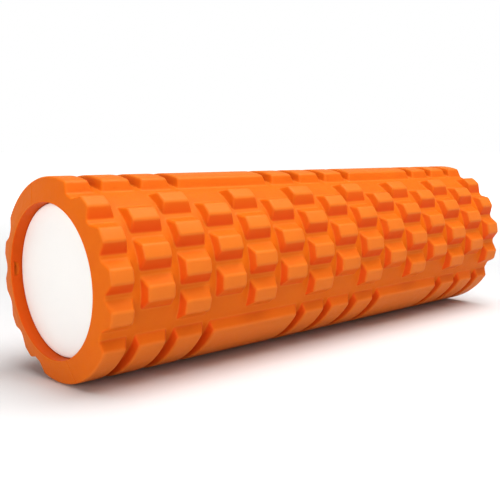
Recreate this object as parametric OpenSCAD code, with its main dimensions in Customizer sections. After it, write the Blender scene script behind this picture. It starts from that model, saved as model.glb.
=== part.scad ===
// Foam roller with a block tread: two moulded EVA foam half shells bonded
// round a rigid hollow core, which a push-in cap closes at each end.
//
// The axis lies along X and the origin is on it, halfway along the roller.
// +Z is up and the roller lies on its lower smooth band. Every outline is
// drawn in a flat plane and along_x() then lays that plane across the axis,
// so an angle a in the plane is a - 180 degrees round from +Z towards -Y.

/* [Roller] */
// Overall length
roller_l = 457; // [330:1:610]
// Diameter over the tread
roller_d = 140; // [136:1:160]

/* [Tread] */
// Height of the blocks above the foam floor between them
tread_h = 6.4; // [4:0.1:8]
// Width of the groove between two columns at the floor
groove_floor_w = 6; // [3:0.1:8]
// Width of the same groove at the top of the blocks
groove_top_w = 10.6; // [8.5:0.1:13]
// Angle from one row of blocks to the next
row_pitch = 22.5; // [21:0.1:23]
// Angle across a block at the floor
block_floor_a = 19.6; // [13:0.1:20]
// Angle across a block at its top
block_top_a = 7.6; // [6:0.1:11]
// Angle across a smooth band at the floor
band_floor_a = 81; // [78:0.1:83]
// Angle across a smooth band at its top
band_top_a = 71.8; // [66:0.1:74]
// Angle of the middle of the front rows, counted from straight up
front_rows_a = 70.6; // [60:0.1:90]

/* [Foam ends] */
// How far the foam's end face slopes back between the bore and the tread
end_slope_l = 3.6; // [2:0.1:6]
// Width of the flat ring round the mouth of the bore
end_land_w = 1.2; // [0.5:0.1:3]
// Part of the first and last column that the ends cut away
end_trim = 5.5; // [3:0.1:7]

/* [Core] */
// Outer radius of the core tube
core_r = 53; // [48:0.5:55]
// Wall thickness of the core tube
core_wall = 3.5; // [2:0.1:5]
// How far the caps' faces sit inside the ends of the foam
cap_recess = 7.7; // [5:0.1:12]

/* [End caps] */
// Thickness of a cap's face
face_t = 3; // [2:0.1:5]
// Rounding of the edge of a cap's face
face_edge_r = 1.2; // [0.4:0.1:1.8]
// How far a cap's skirt reaches into the core
skirt_l = 16; // [8:1:30]
// Wall thickness of a cap's skirt
skirt_t = 2.2; // [1.5:0.1:4]
// Stiffening ribs behind a cap's face
rib_count = 6; // [3:1:12]

/* [Fits] */
// Glue line between the foam and the core
bond_gap = 0.05; // [0.02:0.01:0.1]
// Glue line between the two foam shells
seam_gap = 0.1; // [0.05:0.01:0.3]
// Radial play of a cap's skirt in the core
skirt_play = 0.05; // [0.02:0.01:0.1]
// Radial gap between a cap's face and the foam
face_gap = 0.35; // [0.3:0.05:0.8]

/* [Hidden] */
$fn = 96;

// Columns in each stretch of a smooth band: a 3 is one long bar
BAND_RUNS = [1, 1, 1, 3, 1, 1, 1, 3, 1, 1, 1];
COLUMNS = 15;
ROWS = 4;
FOAM_COLOUR = [0.90, 0.40, 0.12];

top_r = roller_d / 2;
floor_r = top_r - tread_h;
bore_r = core_r + bond_gap;
col_pitch = (roller_l + 2 * end_trim) / COLUMNS;
end_slope = end_slope_l / (top_r - bore_r - end_land_w);

core_ir = core_r - core_wall;
core_l = roller_l - 2 * (cap_recess + face_t);
skirt_r = core_ir - skirt_play;
face_r = bore_r - face_gap;
rib_t = 2;
rib_h = skirt_l * 0.6;
hub_r = 8;
hub_h = rib_h + 1;
lead_in = 1;

// How far a tooth or ring runs on past the floor and the tread's top
past = 1.5;

// Lays a drawing made in the XY plane across the roller, with Z along X
module along_x() {
    translate([-roller_l / 2, 0, 0]) rotate([0, 90, 0]) children();
}

// A point at radius r and angle a
function polar(r, a) = [r * cos(a), r * sin(a)];

// A point on the flank from the floor to the top: t is 0 and 1 there
function flank(floor_a, top_a, t) =
    polar(floor_r, floor_a) * (1 - t) + polar(top_r, top_a) * t;

// Outline of one tooth of the tread across the axis, open to the outside
module tooth(floor_a, top_a) {
    t = past / tread_h;
    polygon([
        flank(-floor_a / 2, -top_a / 2, -t),
        flank(-floor_a / 2, -top_a / 2, 1 + t),
        polar(top_r * 1.3, -top_a / 4),
        polar(top_r * 1.3, top_a / 4),
        flank(floor_a / 2, top_a / 2, 1 + t),
        flank(floor_a / 2, top_a / 2, -t)
    ]);
}

// Ring as wide as a run of whole columns, with sloping sides
module column_ring(first, count) {
    side = (groove_top_w - groove_floor_w) / 2 / tread_h;
    z0 = first * col_pitch - end_trim;
    z1 = z0 + count * col_pitch;
    rotate_extrude() polygon([
        [floor_r - past, z0 + groove_floor_w / 2 - side * past],
        [top_r, z0 + groove_top_w / 2],
        [top_r, z1 - groove_top_w / 2],
        [floor_r - past, z1 - groove_floor_w / 2 + side * past]
    ]);
}

// First column of band run i
function run_start(i) = i == 0 ? 0 : run_start(i - 1) + BAND_RUNS[i - 1];

// Blocks of every second column, from column first, with rows blocks each
module blocks(first, rows) {
    intersection() {
        translate([0, 0, -past]) linear_extrude(roller_l + 2 * past)
            for (i = [0 : rows - 1])
                rotate((i - (rows - 1) / 2) * row_pitch) tooth(block_floor_a, block_top_a);
        for (c = [first : 2 : COLUMNS - 1]) column_ring(c, 1);
    }
}

// The bars of the smooth band at each edge of a shell
module band_bars() {
    intersection() {
        translate([0, 0, -past]) linear_extrude(roller_l + 2 * past)
            for (a = [-90, 90]) rotate(a) tooth(band_floor_a, band_top_a);
        for (i = [0 : len(BAND_RUNS) - 1]) column_ring(run_start(i), BAND_RUNS[i]);
    }
}

// Space between the bore and the sloping end faces
module end_faces() {
    far_r = top_r + past;
    slope_l = end_slope * (far_r - bore_r - end_land_w);
    rotate_extrude() polygon([
        [bore_r, 0],
        [bore_r + end_land_w, 0],
        [far_r, slope_l],
        [far_r, roller_l - slope_l],
        [bore_r + end_land_w, roller_l],
        [bore_r, roller_l]
    ]);
}

// One half of the foam, with its rows of blocks round +X of the drawing
module foam_half() {
    intersection() {
        union() {
            cylinder(r = floor_r, h = roller_l);
            blocks(0, ROWS);
            blocks(1, ROWS - 1);
            band_bars();
        }
        end_faces();
        translate([seam_gap / 2, -roller_d, -past])
            cube([roller_d, 2 * roller_d, roller_l + 2 * past]);
    }
}

module front_foam_shell() {
    color(FOAM_COLOUR) along_x() rotate(front_rows_a + 180) foam_half();
}

module rear_foam_shell() {
    color(FOAM_COLOUR) along_x() rotate(front_rows_a) foam_half();
}

module core_tube() {
    color("white") along_x() translate([0, 0, cap_recess + face_t])
        rotate_extrude() polygon([
            [core_ir + lead_in, 0],
            [core_r, 0],
            [core_r, core_l],
            [core_ir + lead_in, core_l],
            [core_ir, core_l - lead_in],
            [core_ir, lead_in]
        ]);
}

// Cap with its face outwards at z = 0 and its skirt running to +Z
module cap() {
    difference() {
        union() {
            rotate_extrude() {
                square([face_r - face_edge_r, face_t]);
                translate([0, face_edge_r]) square([face_r, face_t - face_edge_r]);
                translate([face_r - face_edge_r, face_edge_r]) circle(face_edge_r);
            }
            rotate_extrude() polygon([
                [skirt_r - skirt_t, face_t / 2],
                [skirt_r, face_t / 2],
                [skirt_r, face_t + skirt_l - lead_in],
                [skirt_r - lead_in, face_t + skirt_l],
                [skirt_r - skirt_t, face_t + skirt_l]
            ]);
            cylinder(r = hub_r, h = face_t + hub_h);
            for (i = [0 : rib_count - 1])
                rotate(i * 360 / rib_count) translate([0, -rib_t / 2, face_t / 2])
                    cube([skirt_r - skirt_t / 2, rib_t, face_t / 2 + rib_h]);
        }
        translate([0, 0, face_t]) cylinder(r = hub_r - rib_t, h = skirt_l);
    }
}

module near_end_cap() {
    color("whitesmoke") along_x() translate([0, 0, cap_recess]) cap();
}

module far_end_cap() {
    color("whitesmoke") mirror([1, 0, 0]) along_x() translate([0, 0, cap_recess]) cap();
}

front_foam_shell();
rear_foam_shell();
core_tube();
near_end_cap();
far_end_cap();
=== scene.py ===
"""Looks of the foam roller: two moulded EVA half shells, a hollow core and two end caps.

Everything is in metres and in the CAD model's frame: the axis lies along X, +Z is up and the roller
lies on its lower smooth band. u is a distance from the roller's near end (-X) along the axis, r a
distance from the axis, and an angle is counted round the axis from +Z towards -Y.
"""

import math

import bpy
import numpy as np
from mathutils import Euler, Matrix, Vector


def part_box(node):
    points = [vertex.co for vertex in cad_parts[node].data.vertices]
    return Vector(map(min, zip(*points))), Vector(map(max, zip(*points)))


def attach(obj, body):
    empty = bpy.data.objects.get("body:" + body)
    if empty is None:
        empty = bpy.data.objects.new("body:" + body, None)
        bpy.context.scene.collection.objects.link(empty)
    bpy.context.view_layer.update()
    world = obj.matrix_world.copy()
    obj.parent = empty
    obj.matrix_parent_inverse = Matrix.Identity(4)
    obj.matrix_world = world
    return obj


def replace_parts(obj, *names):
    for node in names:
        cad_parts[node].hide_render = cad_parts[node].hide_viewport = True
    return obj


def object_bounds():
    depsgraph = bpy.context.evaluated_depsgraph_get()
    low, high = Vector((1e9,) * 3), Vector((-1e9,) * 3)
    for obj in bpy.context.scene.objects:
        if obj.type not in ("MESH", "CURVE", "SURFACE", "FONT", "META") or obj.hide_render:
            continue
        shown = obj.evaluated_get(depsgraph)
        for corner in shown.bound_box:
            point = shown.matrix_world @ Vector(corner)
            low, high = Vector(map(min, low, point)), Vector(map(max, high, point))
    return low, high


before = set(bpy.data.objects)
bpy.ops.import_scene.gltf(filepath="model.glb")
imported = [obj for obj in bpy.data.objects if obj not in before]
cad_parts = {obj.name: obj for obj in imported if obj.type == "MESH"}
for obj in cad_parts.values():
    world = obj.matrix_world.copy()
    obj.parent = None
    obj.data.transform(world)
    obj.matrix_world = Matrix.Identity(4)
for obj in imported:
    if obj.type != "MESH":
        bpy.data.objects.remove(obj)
CAD_LOW, CAD_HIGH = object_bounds()

# ---------------------------------------------------------------- sizes read from the frame
LENGTH = CAD_HIGH.x - CAD_LOW.x
NEAR_X = CAD_LOW.x
TOP_R = CAD_HIGH.z
CORE_LOW, CORE_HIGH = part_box("core_tube")
CAP_LOW, CAP_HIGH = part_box("near_end_cap")
CORE_R = CORE_HIGH[2]
CORE_END = CORE_LOW[0] - NEAR_X
CAP_FACE_U = CAP_LOW[0] - NEAR_X
CAP_DEPTH = CAP_HIGH[0] - CAP_LOW[0]
CAP_FACE_R = CAP_HIGH[2]

# ---------------------------------------------------------------- the tread, as in the CAD source
TREAD_H = 0.0064
FLOOR_R = TOP_R - TREAD_H
BORE_R = CORE_R + 0.00005
COLUMNS = 15
BAND_RUNS = (1, 1, 1, 3, 1, 1, 1, 3, 1, 1, 1)
END_TRIM = 0.0055
COLUMN_PITCH = (LENGTH + 2 * END_TRIM) / COLUMNS
GROOVE_FLOOR_W = 0.006
GROOVE_TOP_W = 0.0106
ROW_PITCH = math.radians(22.5)
BLOCK_HALF_A = math.radians(9.8), math.radians(3.8)  # at the floor and at the top
BAND_HALF_A = math.radians(40.5), math.radians(35.9)
QUARTER = math.radians(90)
FRONT_ROWS_A = math.radians(70.6)
REAR_ROWS_A = math.radians(250.6)
END_LAND_W = 0.0012
END_SLOPE_L = 0.0036

# ---------------------------------------------------------------- core and caps, as in the CAD source
CORE_BORE_R = CORE_R - 0.0035
CAP_FACE_T = 0.003
CAP_EDGE_R = 0.0012
SKIRT_R = CORE_BORE_R - 0.00005
SKIRT_T = 0.0022
RIBS = 6
RIB_T = 0.002
RIB_H = (CAP_DEPTH - CAP_FACE_T) * 0.6
HUB_R = 0.008
HUB_H = RIB_H + 0.001
TURN_STEPS = 192

# ---------------------------------------------------------------- what the CAD source leaves out
# Roundings that moulding leaves
TOP_ROUND = 0.0009
CORNER_ROUND = 0.0014
FOOT_ROUND = 0.0006
END_ROUND = 0.0012
MOUTH_ROUND = 0.0006

# The glued seam between the shells
SEAM_HALF_A = math.radians(0.05)
SEAM_DIP = 0.00028
SEAM_DIP_W = 0.0007

# A notch in the wall of the near bore, with a low lip on the side of the mouth
DENT_U, DENT_A = 0.0022, math.radians(273.6)
DENT_L = 0.0042  # along the axis
DENT_HALF_W = 0.0052  # round the bore
DENT_STEP = 0.0004
DENT_DEPTH = 0.0030
DENT_LIP = 0.0008
DENT_LIP_W = 0.0003


# ---------------------------------------------------------------- the foam's surface
def round_max(a, b, r):
    """Both shapes' overlap, with its edge rounded by about r."""
    return np.minimum(np.maximum(a, b), -r) + np.hypot(np.maximum(a + r, 0), np.maximum(b + r, 0))


def round_min(a, b, r):
    """Both shapes together, with a fillet of about r where they meet."""
    return np.maximum(np.minimum(a, b), r) - np.hypot(np.maximum(r - a, 0), np.maximum(r - b, 0))


def beyond_sides(u, height, start, count):
    """How far a point is outside the sloping sides of a run of whole columns."""
    half = count * COLUMN_PITCH / 2
    run = (GROOVE_TOP_W - GROOVE_FLOOR_W) / 2
    out = np.abs(u - (start - END_TRIM + half)) - (half - GROOVE_FLOOR_W / 2)
    return (out * TREAD_H + height * run) / math.hypot(run, TREAD_H)


def beyond_flanks(r, off, half):
    """How far a point is outside a tooth's two flanks, at an angle off from the tooth's middle."""
    foot = FLOOR_R * math.cos(half[0]), FLOOR_R * math.sin(half[0])
    top = TOP_R * math.cos(half[1]), TOP_R * math.sin(half[1])
    along = top[0] - foot[0], top[1] - foot[1]
    x, y = r * np.cos(off), r * np.abs(np.sin(off))
    return (along[0] * (y - foot[1]) - along[1] * (x - foot[0])) / math.hypot(*along)


def run_of(column):
    """First column and length of the band's bar that each column belongs to."""
    starts = np.cumsum((0,) + BAND_RUNS[:-1])
    i = np.searchsorted(starts, column, side="right") - 1
    return starts[i], np.array(BAND_RUNS)[i]


def tooth_distance(u, r, off):
    """Signed distance, about, to the blocks and bars. off is the angle from the rows' middle."""
    height = r - FLOOR_R
    column = np.clip(((u + END_TRIM) / COLUMN_PITCH).astype(int), 0, COLUMNS - 1)
    rows = 4 - column % 2
    row = np.clip(np.round(off / ROW_PITCH + (rows - 1) / 2), 0, rows - 1)
    from_row = off - (row - (rows - 1) / 2) * ROW_PITCH
    first, count = run_of(column)
    above = r - TOP_R
    block = round_max(
        beyond_sides(u, height, column * COLUMN_PITCH, 1),
        beyond_flanks(r, from_row, BLOCK_HALF_A),
        CORNER_ROUND,
    )
    bar = round_max(
        beyond_sides(u, height, first * COLUMN_PITCH, count),
        beyond_flanks(r, QUARTER - np.abs(off), BAND_HALF_A),
        CORNER_ROUND,
    )
    return round_max(np.minimum(block, bar), above, TOP_ROUND)


def end_distance(u, r):
    """Signed distance, about, to the space between the foam's two sloping ends."""
    w = np.minimum(u, LENGTH - u)
    ring_r = BORE_R + END_LAND_W
    rise = TOP_R - ring_r
    cone = ((r - ring_r) * END_SLOPE_L - w * rise) / math.hypot(END_SLOPE_L, rise)
    return round_max(-w, cone, END_ROUND)


def foam_distance(u, r, off):
    """Signed distance, about, to the outside of one half of the foam."""
    tread = round_min(tooth_distance(u, r, off), r - FLOOR_R, FOOT_ROUND)
    from_seam = r * (QUARTER - np.abs(off))
    dip = SEAM_DIP * np.clip(1 - from_seam / SEAM_DIP_W, 0, 1) ** 2
    return round_max(tread, end_distance(u, r), END_ROUND) + dip


def dent(u, angle):
    """How far the near bore's wall is pushed outwards at the notch."""
    turn = (angle - DENT_A + math.pi) % (2 * math.pi) - math.pi
    past = u - DENT_U
    across = np.clip(1 - (BORE_R * turn / DENT_HALF_W) ** 2, 0, 1)
    hollow = np.clip(past / DENT_STEP, 0, 1) * np.clip(1 - past / DENT_L, 0, 1)
    lip = np.exp(-(((past + DENT_STEP / 2) / DENT_LIP_W) ** 2))
    return across * (DENT_DEPTH * hollow - DENT_LIP * lip)


# ---------------------------------------------------------------- mesh helpers
def add_mesh(name, points, faces, material, smooth_below=40):
    """A new object from points and faces, smooth except where it bends more than so many degrees."""
    mesh = bpy.data.meshes.new(name)
    mesh.from_pydata(points, [], faces)
    mesh.update()
    mesh.shade_smooth()
    mesh.set_sharp_from_angle(angle=math.radians(smooth_below))
    mesh.materials.append(material)
    obj = bpy.data.objects.new(name, mesh)
    bpy.context.scene.collection.objects.link(obj)
    return obj


def around(u, r, angle):
    """Points of the row frame for u, r and angle, which broadcast."""
    u, r, angle = np.broadcast_arrays(u, r, angle)
    return np.stack([NEAR_X + u, -r * np.sin(angle), r * np.cos(angle)], -1)


def grid_faces(rows, columns, closed_rows=False, closed_columns=False):
    """Quads of a grid of points laid out row by row."""
    i = np.arange(rows if closed_rows else rows - 1)
    j = np.arange(columns if closed_columns else columns - 1)
    i, j = (a.ravel() for a in np.meshgrid(i, j, indexing="ij"))
    i2, j2 = (i + 1) % rows, (j + 1) % columns
    return np.stack([i * columns + j, i * columns + j2, i2 * columns + j2, i2 * columns + j], -1)


# ---------------------------------------------------------------- the foam shells
# Where the mesh's lines across the axis lie in half a column: close together on the block's edges
COLUMN_LINES = np.array(
    [0, 1.2, 2.0, 2.5, 2.9, 3.3, 3.7, 4.2, 4.7, 5.1, 5.5, 5.9, 6.5, 7.5, 10.5]
) / 1000
LINE_STEP_A = math.radians(0.5)
FAN_U, FAN_R = 0.0095, 0.0575  # inside the foam, where the rays round the end's edge start
FAN_RAYS = 26
FACE_RAYS = 7
REACH = 0.022  # further out than any point of the surface
HALVINGS = 24
WALL_LINES = np.concatenate([np.arange(1, 25) * 0.00025, [0.0075, 0.0125, 0.03]])


def foam_rays():
    """Starts and directions, as (u, r), of the rays that find the outside, from end to end."""
    face_r = np.linspace(BORE_R + 2 * MOUTH_ROUND, FAN_R, FACE_RAYS, endpoint=False)
    turn = np.linspace(0, QUARTER, FAN_RAYS)
    near_start = [(FAN_U, r) for r in face_r] + [(FAN_U, FAN_R)] * FAN_RAYS
    near_way = [(-1, 0)] * FACE_RAYS + [(-math.cos(t), math.sin(t)) for t in turn]
    cell = np.concatenate([COLUMN_LINES, [COLUMN_PITCH / 2], COLUMN_PITCH - COLUMN_LINES[:0:-1]])
    across = np.concatenate([c * COLUMN_PITCH - END_TRIM + cell for c in range(COLUMNS)])
    across = across[(across > FAN_U + 0.0003) & (across < LENGTH - FAN_U - 0.0003)]
    start = near_start + [(u, FAN_R) for u in across] + [(LENGTH - u, r) for u, r in near_start[::-1]]
    way = near_way + [(0, 1)] * len(across) + [(-u, r) for u, r in near_way[::-1]]
    return np.array(start), np.array(way)


def foam_lines():
    """Angles from the rows' middle of the mesh's lines along the axis, closer at the seam."""
    edge = QUARTER - SEAM_HALF_A
    close = edge - np.radians([0, 0.12, 0.25, 0.4, 0.6, 0.85])
    inner = np.arange(-(QUARTER - math.radians(1.5)), QUARTER - math.radians(1.4), LINE_STEP_A)
    return np.concatenate([-close, inner, close[::-1]])


def foam_shell(name, rows_a, material):
    """Half of the foam as a closed shell, found by halving along rays from inside it."""
    start, way = foam_rays()
    off = foam_lines()
    u0, r0 = start[:, 0, None], start[:, 1, None]
    du, dr = way[:, 0, None], way[:, 1, None]
    inside = np.zeros((len(start), len(off)))
    outside = np.full_like(inside, REACH)
    for _ in range(HALVINGS):
        t = (inside + outside) / 2
        within = foam_distance(u0 + t * du, r0 + t * dr, off[None, :]) < 0
        inside, outside = np.where(within, t, inside), np.where(within, outside, t)
    u, r = u0 + inside * du, r0 + inside * dr

    mouth = np.linspace(0, QUARTER, 5)[:, None]
    mouth_u = MOUTH_ROUND * (1 - np.sin(mouth)) + 0 * off
    mouth_r = BORE_R + MOUTH_ROUND * (1 - np.cos(mouth)) + 0 * off
    near_wall_u = (WALL_LINES + MOUTH_ROUND)[::-1, None] + 0 * off
    near_wall_r = BORE_R + dent(near_wall_u, rows_a + off[None, :])
    u = np.vstack([near_wall_u, mouth_u, u, LENGTH - mouth_u[::-1], LENGTH - near_wall_u[::-1]])
    r = np.vstack([near_wall_r, mouth_r, r, mouth_r[::-1], 0 * near_wall_r + BORE_R])

    points = around(u, r, rows_a + off[None, :])
    rows, columns = u.shape
    faces = grid_faces(rows, columns, closed_rows=True).tolist()
    seam = np.arange(rows) * columns
    faces += [seam.tolist(), (seam[::-1] + columns - 1).tolist()]
    shell = add_mesh(name, points.reshape(-1, 3), faces, material)

    # What the material reads: 1 on the blocks' rounded top edges, which are worn and also carry a
    # painted highlight; up to 1 on the slopes below them that turn away from the light above and in
    # the bore, as painted shade; and 1 along the crease round the foot, as a painted highlight line
    up = np.empty(3 * rows * columns, dtype=np.float32)
    shell.data.vertex_normals.foreach_get("vector", up)
    up = up[2::3].reshape(rows, columns)
    turned_away = np.clip((0.40 - up) / 0.45, 0, 1) * np.clip((up + 0.88) / 0.2, 0, 1)
    share = (r - FLOOR_R) / TREAD_H
    clear = np.clip(-end_distance(u, r) / 0.0008, 0, 1)
    slope = clear * np.clip(share / 0.06, 0, 1) * np.clip((1 - share) / 0.2, 0, 1)
    # Painted shade: the slopes turned away from the light above, and the bore wall below, get a
    # deeper colour that stands for shade
    flank = slope * turned_away * (1 - share * (1 - 0.6 * turned_away))
    flank = np.where(r < BORE_R + 0.6 * MOUTH_ROUND, 0.75, flank)
    # Painted highlight: a pale line along the crease round each block's foot
    from_foot = tooth_distance(u, r, off[None, :]) - 0.0003
    painted_foot_highlight = clear * np.exp(-((from_foot / 0.0004) ** 2)) * np.clip(1 - share / 0.15, 0, 1)
    # The blocks' rounded top edges: real wear makes them a little glossier, and a painted highlight
    # makes them paler
    flat = np.clip((share - 0.80) / 0.1, 0, 1)
    inset = tooth_distance(u, np.full_like(r, TOP_R), off[None, :])
    wear_and_highlight = flat * np.clip(1 + inset / (1.1 * TOP_ROUND), 0, 1)
    for label, value in (("wear_and_highlight", wear_and_highlight), ("flank", flank), ("painted_foot_highlight", painted_foot_highlight)):
        attribute = shell.data.attributes.new(label, "FLOAT", "POINT")
        attribute.data.foreach_set("value", value.astype(np.float32).ravel())
    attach(shell, "roller")
    return shell


# ---------------------------------------------------------------- turned parts
def rounded(outline, radii, steps=5):
    """A closed outline of (u, r) points with each corner rounded by its radius."""
    made = []
    for i, (corner, radius) in enumerate(zip(outline, radii)):
        p = np.array(corner)
        before, after = np.array(outline[i - 1]) - p, np.array(outline[(i + 1) % len(outline)]) - p
        if not radius:
            made.append(p)
            continue
        before, after = before / np.hypot(*before), after / np.hypot(*after)
        half = math.acos(np.clip(before @ after, -1, 1)) / 2
        a, b = p + before * radius / math.tan(half), p + after * radius / math.tan(half)
        centre = p + (before + after) / np.hypot(*(before + after)) * radius / math.sin(half)
        for t in np.linspace(0, 1, steps + 1):
            way = (a - centre) * (1 - t) + (b - centre) * t
            made.append(centre + way / np.hypot(*way) * radius)
    return np.array(made)


def turned(outline, closed=True):
    """Points and faces of an outline of (u, r) turned round the axis."""
    angle = np.arange(TURN_STEPS) * 2 * math.pi / TURN_STEPS
    points = around(outline[:, 0, None], outline[:, 1, None], angle[None, :])
    faces = grid_faces(len(outline), TURN_STEPS, closed_rows=closed, closed_columns=True)
    return points.reshape(-1, 3), faces


def core_tube(material):
    """The hollow core, with a lead-in for the caps at both ends of its bore."""
    inner, lead = CORE_BORE_R, 0.001
    far = LENGTH - CORE_END
    outline = [
        (CORE_END, inner + lead),
        (CORE_END, CORE_R),
        (far, CORE_R),
        (far, inner + lead),
        (far - lead, inner),
        (CORE_END + lead, inner),
    ]
    outline = rounded(outline, (0.0003, 0.0004, 0.0004, 0.0003, 0.0004, 0.0004), steps=3)
    points, faces = turned(outline)
    tube = add_mesh("core_tube_sleeve", points, faces.tolist(), material)
    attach(tube, "roller")
    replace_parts(tube, "core_tube")


def rib_mesh(inner_r, outer_r, depth_from, depth_to, angle):
    """One stiffening rib behind a cap's face, with a little draft and a rounded crest."""
    half, crest = RIB_T / 2, 0.0005
    section = [
        (depth_from, -half),
        (depth_to - crest, -half * 0.8),
        (depth_to - crest * 0.3, -half * 0.6),
        (depth_to, -half * 0.25),
    ]
    section += [(d, -s) for d, s in section[::-1]]
    cos, sin = math.cos(angle), math.sin(angle)
    points = [
        (d, r * cos - s * sin, r * sin + s * cos) for r in (inner_r, outer_r) for d, s in section
    ]
    n = len(section)
    faces = [[i, (i + 1) % n, n + (i + 1) % n, n + i] for i in range(n)]
    return points, faces + [list(range(n))[::-1], list(range(n, 2 * n))]


def end_cap(name, node, body, far, material):
    """A push-in cap: a flat face, a skirt, and a hub and ribs behind the face."""
    back = CAP_DEPTH
    hub_top = CAP_FACE_T + HUB_H
    corners = [  # depth behind the face, distance from the axis, rounding
        (0, 0, 0),
        (0, CAP_FACE_R, CAP_EDGE_R),
        (CAP_FACE_T, CAP_FACE_R, 0.0004),
        (CAP_FACE_T, SKIRT_R, 0.0002),
        (back - 0.001, SKIRT_R, 0.0003),
        (back, SKIRT_R - 0.001, 0.0003),
        (back, SKIRT_R - SKIRT_T, 0.0004),
        (CAP_FACE_T, SKIRT_R - SKIRT_T, 0.0008),
        (CAP_FACE_T, HUB_R, 0.0006),
        (hub_top, HUB_R, 0.0004),
        (hub_top, HUB_R - RIB_T, 0.0004),
        (CAP_FACE_T, HUB_R - RIB_T, 0.0005),
        (CAP_FACE_T, 0, 0),
    ]
    profile = rounded([c[:2] for c in corners], [c[2] for c in corners])
    face_rings = [(0, CAP_FACE_R * s) for s in (0.2, 0.4, 0.6, 0.8, 0.93)]
    profile = np.vstack([profile[:1], face_rings, profile[1:]])
    profile[0, 1] = profile[-1, 1] = 1e-5
    points, faces = turned(profile, closed=False)
    points = points - (NEAR_X, 0, 0)
    faces = faces[:, ::-1].tolist()
    faces.append(list(range(TURN_STEPS)))
    faces.append(list(range(len(points) - TURN_STEPS, len(points)))[::-1])
    points = points.tolist()
    for i in range(RIBS):
        rib_points, rib_faces = rib_mesh(
            HUB_R - RIB_T / 2,
            SKIRT_R - SKIRT_T / 2,
            CAP_FACE_T / 2,
            CAP_FACE_T + RIB_H,
            i * 2 * math.pi / RIBS,
        )
        faces += [[len(points) + k for k in f] for f in rib_faces]
        points += rib_points
    points = np.array(points)
    points[:, 0] += NEAR_X + CAP_FACE_U
    if far:
        points[:, 0] *= -1
    else:
        faces = [f[::-1] for f in faces]
    cap = add_mesh(name, points, faces, material, smooth_below=35)
    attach(cap, body)
    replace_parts(cap, node)


# ---------------------------------------------------------------- materials
RANGE_SOCKETS = "From Min", "From Max", "To Min", "To Max"


class Material:
    """A node material with short ways to add and join its nodes."""

    def __init__(self, name):
        self.made = bpy.data.materials.new(name)
        self.made.use_nodes = True
        self.tree = self.made.node_tree
        self.shader = self.tree.nodes["Principled BSDF"]
        self.place = self.tree.nodes.new("ShaderNodeTexCoord").outputs["Object"]

    def node(self, kind, settings=(), **inputs):
        made = self.tree.nodes.new(kind)
        for key, value in dict(settings).items():
            setattr(made, key, value)
        for key, value in inputs.items():
            self.put(made.inputs[key.replace("_", " ")], value)
        return made

    def put(self, socket, value):
        if isinstance(value, bpy.types.NodeSocket):
            self.tree.links.new(value, socket)
        else:
            socket.default_value = value

    def stretched(self, scale):
        return self.node("ShaderNodeMapping", Vector=self.place, Scale=scale).outputs["Vector"]

    def noise(self, scale, detail=3.0, roughness=0.5, where=None):
        return self.node(
            "ShaderNodeTexNoise",
            Vector=where or self.place,
            Scale=scale,
            Detail=detail,
            Roughness=roughness,
        ).outputs["Fac"]

    def ranged(self, value, low, high, to_low, to_high):
        made = self.node("ShaderNodeMapRange", Value=value)
        for key, number in zip(RANGE_SOCKETS, (low, high, to_low, to_high)):
            made.inputs[key].default_value = number
        return made.outputs["Result"]

    def maths(self, operation, a, b):
        made = self.tree.nodes.new("ShaderNodeMath")
        made.operation = operation
        self.put(made.inputs[0], a)
        self.put(made.inputs[1], b)
        return made.outputs[0]

    def mixed(self, share, a, b):
        made = self.tree.nodes.new("ShaderNodeMix")
        made.data_type = "RGBA"
        self.put(made.inputs[0], share)
        self.put(made.inputs[6], a)
        self.put(made.inputs[7], b)
        return made.outputs[2]

    def bumps(self, *layers):
        """Lays (height, depth in metres) on one another, coarse first, as the shader's normal."""
        normal = None
        for height, depth in layers:
            bump = self.node("ShaderNodeBump", Height=height, Strength=1.0, Distance=depth)
            if normal is not None:
                self.put(bump.inputs["Normal"], normal)
            normal = bump.outputs["Normal"]
        self.put(self.shader.inputs["Normal"], normal)

    def set(self, **values):
        for key, value in values.items():
            self.put(self.shader.inputs[key.replace("_", " ")], value)


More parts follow.
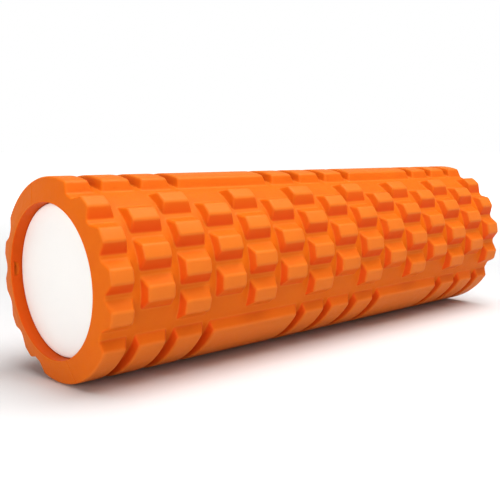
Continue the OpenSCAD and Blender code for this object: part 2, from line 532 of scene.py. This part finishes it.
def eva_foam():
    """Orange EVA foam: a soft moulded skin with fine grain and open pores.

    Painted highlights make it paler on the blocks' edges, which are also worn, and along the creases
    round their feet. Painted shade makes it deeper on the slopes turned away from the light above and
    in the bore.
    """
    m = Material("eva_foam")
    wear_and_highlight = m.node("ShaderNodeAttribute", {"attribute_name": "wear_and_highlight"}).outputs["Fac"]
    flank = m.node("ShaderNodeAttribute", {"attribute_name": "flank"}).outputs["Fac"]
    painted_foot_highlight = m.node("ShaderNodeAttribute", {"attribute_name": "painted_foot_highlight"}).outputs["Fac"]
    cloud = m.noise(28, detail=4, roughness=0.55)
    mottle = m.noise(420, detail=3, roughness=0.6)
    pores = m.node(
        "ShaderNodeTexVoronoi", {"feature": "F1"}, Vector=m.place, Scale=1400, Randomness=1.0
    ).outputs["Distance"]

    clouded = m.ranged(cloud, 0.3, 0.7, 0, 1)
    colour = m.mixed(clouded, (0.66, 0.151, 0.003, 1), (0.64, 0.135, 0.002, 1))
    colour = m.mixed(m.ranged(mottle, 0.35, 0.75, 0, 0.35), colour, (0.67, 0.169, 0.005, 1))
    # Painted shade: deeper orange on the slopes turned away from the light above and in the bore
    colour = m.mixed(m.maths("MULTIPLY", flank, 0.7), colour, (0.66, 0.056, 0.001, 1))
    # Painted highlight: paler orange along the crease round each block's foot
    colour = m.mixed(m.maths("MULTIPLY", painted_foot_highlight, 0.3), colour, (0.70, 0.240, 0.035, 1))
    # Wear and painted highlight: paler orange on the blocks' rounded top edges
    colour = m.mixed(m.maths("MULTIPLY", wear_and_highlight, 0.4), colour, (0.69, 0.225, 0.040, 1))

    skin = m.noise(3200, detail=2, roughness=0.6)
    rough = m.maths("ADD", m.ranged(mottle, 0.3, 0.7, 0.47, 0.60), m.maths("MULTIPLY", wear_and_highlight, -0.06))
    m.set(
        Base_Color=colour,
        Roughness=rough,
        IOR=1.45,
        Specular_IOR_Level=0.18,
        Subsurface_Weight=0.10,
        Subsurface_Radius=(0.0022, 0.0009, 0.0003),
        Subsurface_Scale=1.0,
    )
    m.bumps(
        (m.noise(55, detail=2), 0.0006),
        (m.ranged(pores, 0.0, 0.35, 0, 1), 0.00002),
        (skin, 0.00003),
    )
    return m.made


def cap_plastic():
    """Off-white injection-moulded plastic with a fine spark-eroded texture."""
    m = Material("cap_plastic")
    cloud = m.noise(18, detail=3)
    grain = m.noise(5200, detail=2, roughness=0.6)
    specks = m.noise(900, detail=2)
    clouded = m.ranged(cloud, 0.3, 0.7, 0, 1)
    colour = m.mixed(clouded, (0.87, 0.855, 0.825, 1), (0.85, 0.840, 0.815, 1))
    colour = m.mixed(m.ranged(specks, 0.62, 0.8, 0, 0.25), colour, (0.80, 0.795, 0.78, 1))
    m.set(Base_Color=colour, Roughness=m.ranged(grain, 0.3, 0.7, 0.34, 0.46), IOR=1.5)
    m.bumps((m.noise(40, detail=1), 0.0003), (grain, 0.000012))
    return m.made


def core_plastic():
    """Grey-white extruded plastic with the die's faint lines along it."""
    m = Material("core_plastic")
    lines = m.noise(1.0, detail=4, roughness=0.6, where=m.stretched((6, 900, 900)))
    cloud = m.noise(22, detail=3)
    clouded = m.ranged(cloud, 0.3, 0.7, 0, 1)
    colour = m.mixed(clouded, (0.74, 0.74, 0.72, 1), (0.69, 0.69, 0.675, 1))
    colour = m.mixed(m.ranged(lines, 0.45, 0.75, 0, 0.3), colour, (0.60, 0.60, 0.59, 1))
    m.set(Base_Color=colour, Roughness=m.ranged(lines, 0.3, 0.7, 0.32, 0.5), IOR=1.5)
    m.bumps((lines, 0.00004))
    return m.made


def paper_floor():
    """Pale studio paper that brightens into the white wall far from the roller."""
    m = Material("paper_floor")
    tone = m.noise(3, detail=2)
    colour = m.mixed(tone, (0.70, 0.70, 0.70, 1), (0.72, 0.72, 0.72, 1))
    far = m.node("ShaderNodeVectorMath", {"operation": "LENGTH"})
    m.put(far.inputs[0], m.place)
    m.set(
        Base_Color=colour,
        Roughness=0.9,
        IOR=1.3,
        Emission_Color=(1, 1, 1, 1),
        Emission_Strength=m.ranged(far.outputs["Value"], 0.5, 2.2, 0, 0.85),
    )
    return m.made


# ---------------------------------------------------------------- floor, light and camera
# The sine of the elevation up to which the wall round the floor is white, that from which the
# room above it is dim, and how brightly each of the two shines
WALL_FADE = 0.19, 0.30, 1.0, 0.22


def studio():
    """The floor, and a world that is white low down and dimmer overhead."""
    size = 30
    mesh = bpy.data.meshes.new("floor")
    z = CAD_LOW.z
    corners = [(-size, -size, z), (size, -size, z), (size, size, z), (-size, size, z)]
    mesh.from_pydata(corners, [], [(0, 1, 2, 3)])
    mesh.materials.append(paper_floor())
    floor = bpy.data.objects.new("floor", mesh)
    bpy.context.scene.collection.objects.link(floor)

    world = bpy.data.worlds.new("studio")
    world.use_nodes = True
    nodes, links = world.node_tree.nodes, world.node_tree.links
    sky = nodes["Background"]
    sky.inputs["Color"].default_value = (1, 1, 1, 1)
    height = nodes.new("ShaderNodeSeparateXYZ")
    links.new(nodes.new("ShaderNodeTexCoord").outputs["Generated"], height.inputs[0])
    fade = nodes.new("ShaderNodeMapRange")
    fade.interpolation_type = "SMOOTHSTEP"
    for name, value in zip(RANGE_SOCKETS, WALL_FADE):
        fade.inputs[name].default_value = value
    links.new(height.outputs["Z"], fade.inputs["Value"])
    links.new(fade.outputs["Result"], sky.inputs["Strength"])
    bpy.context.scene.world = world


def softbox(name, place, aim, size, watts):
    """A square lamp that lights the part and isn't seen itself."""
    lamp = bpy.data.lights.new(name, "AREA")
    lamp.shape = "RECTANGLE"
    lamp.size, lamp.size_y = size
    lamp.energy = watts
    obj = bpy.data.objects.new(name, lamp)
    obj.location = place
    obj.rotation_euler = (Vector(aim) - Vector(place)).to_track_quat("-Z", "Y").to_euler()
    obj.visible_camera = False
    bpy.context.scene.collection.objects.link(obj)


# The camera stands left of the near end, a little above the roller, and looks along it
CAMERA_AT = (-0.4932, -0.4920, 0.0870)
CAMERA_HEADING = 46.4  # degrees from +Y towards +X
CAMERA_DOWN = 8.8
CAMERA_LENS = 58.2
CAMERA_SHIFT = -0.12, 0.05
DISPLAY_GAMMA = 0.86  # a little more contrast in the middle tones


def camera():
    """The view along the roller from beyond its near end."""
    data = bpy.data.cameras.new("camera")
    data.sensor_width = 36
    data.lens = CAMERA_LENS
    data.shift_x, data.shift_y = CAMERA_SHIFT
    obj = bpy.data.objects.new("camera", data)
    obj.location = CAMERA_AT
    obj.rotation_euler = Euler((math.radians(90 - CAMERA_DOWN), 0, math.radians(-CAMERA_HEADING)))
    bpy.context.scene.collection.objects.link(obj)
    bpy.context.scene.camera = obj


foam = eva_foam()
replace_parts(foam_shell("front_foam_skin", FRONT_ROWS_A, foam), "front_foam_shell")
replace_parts(foam_shell("rear_foam_skin", REAR_ROWS_A, foam), "rear_foam_shell")
core_tube(core_plastic())
white = cap_plastic()
end_cap("near_cap_moulding", "near_end_cap", "near_cap", False, white)
end_cap("far_cap_moulding", "far_end_cap", "far_cap", True, white)
studio()
softbox("key", (0.2, -0.45, 1.8), (0, 0, 0), (2.0, 2.0), 60)
softbox("fill", (-1.6, -0.7, 0.2), (-0.2, 0, 0), (1.2, 1.2), 16)
camera()
bpy.context.scene.view_settings.view_transform = "Standard"
bpy.context.scene.view_settings.gamma = DISPLAY_GAMMA
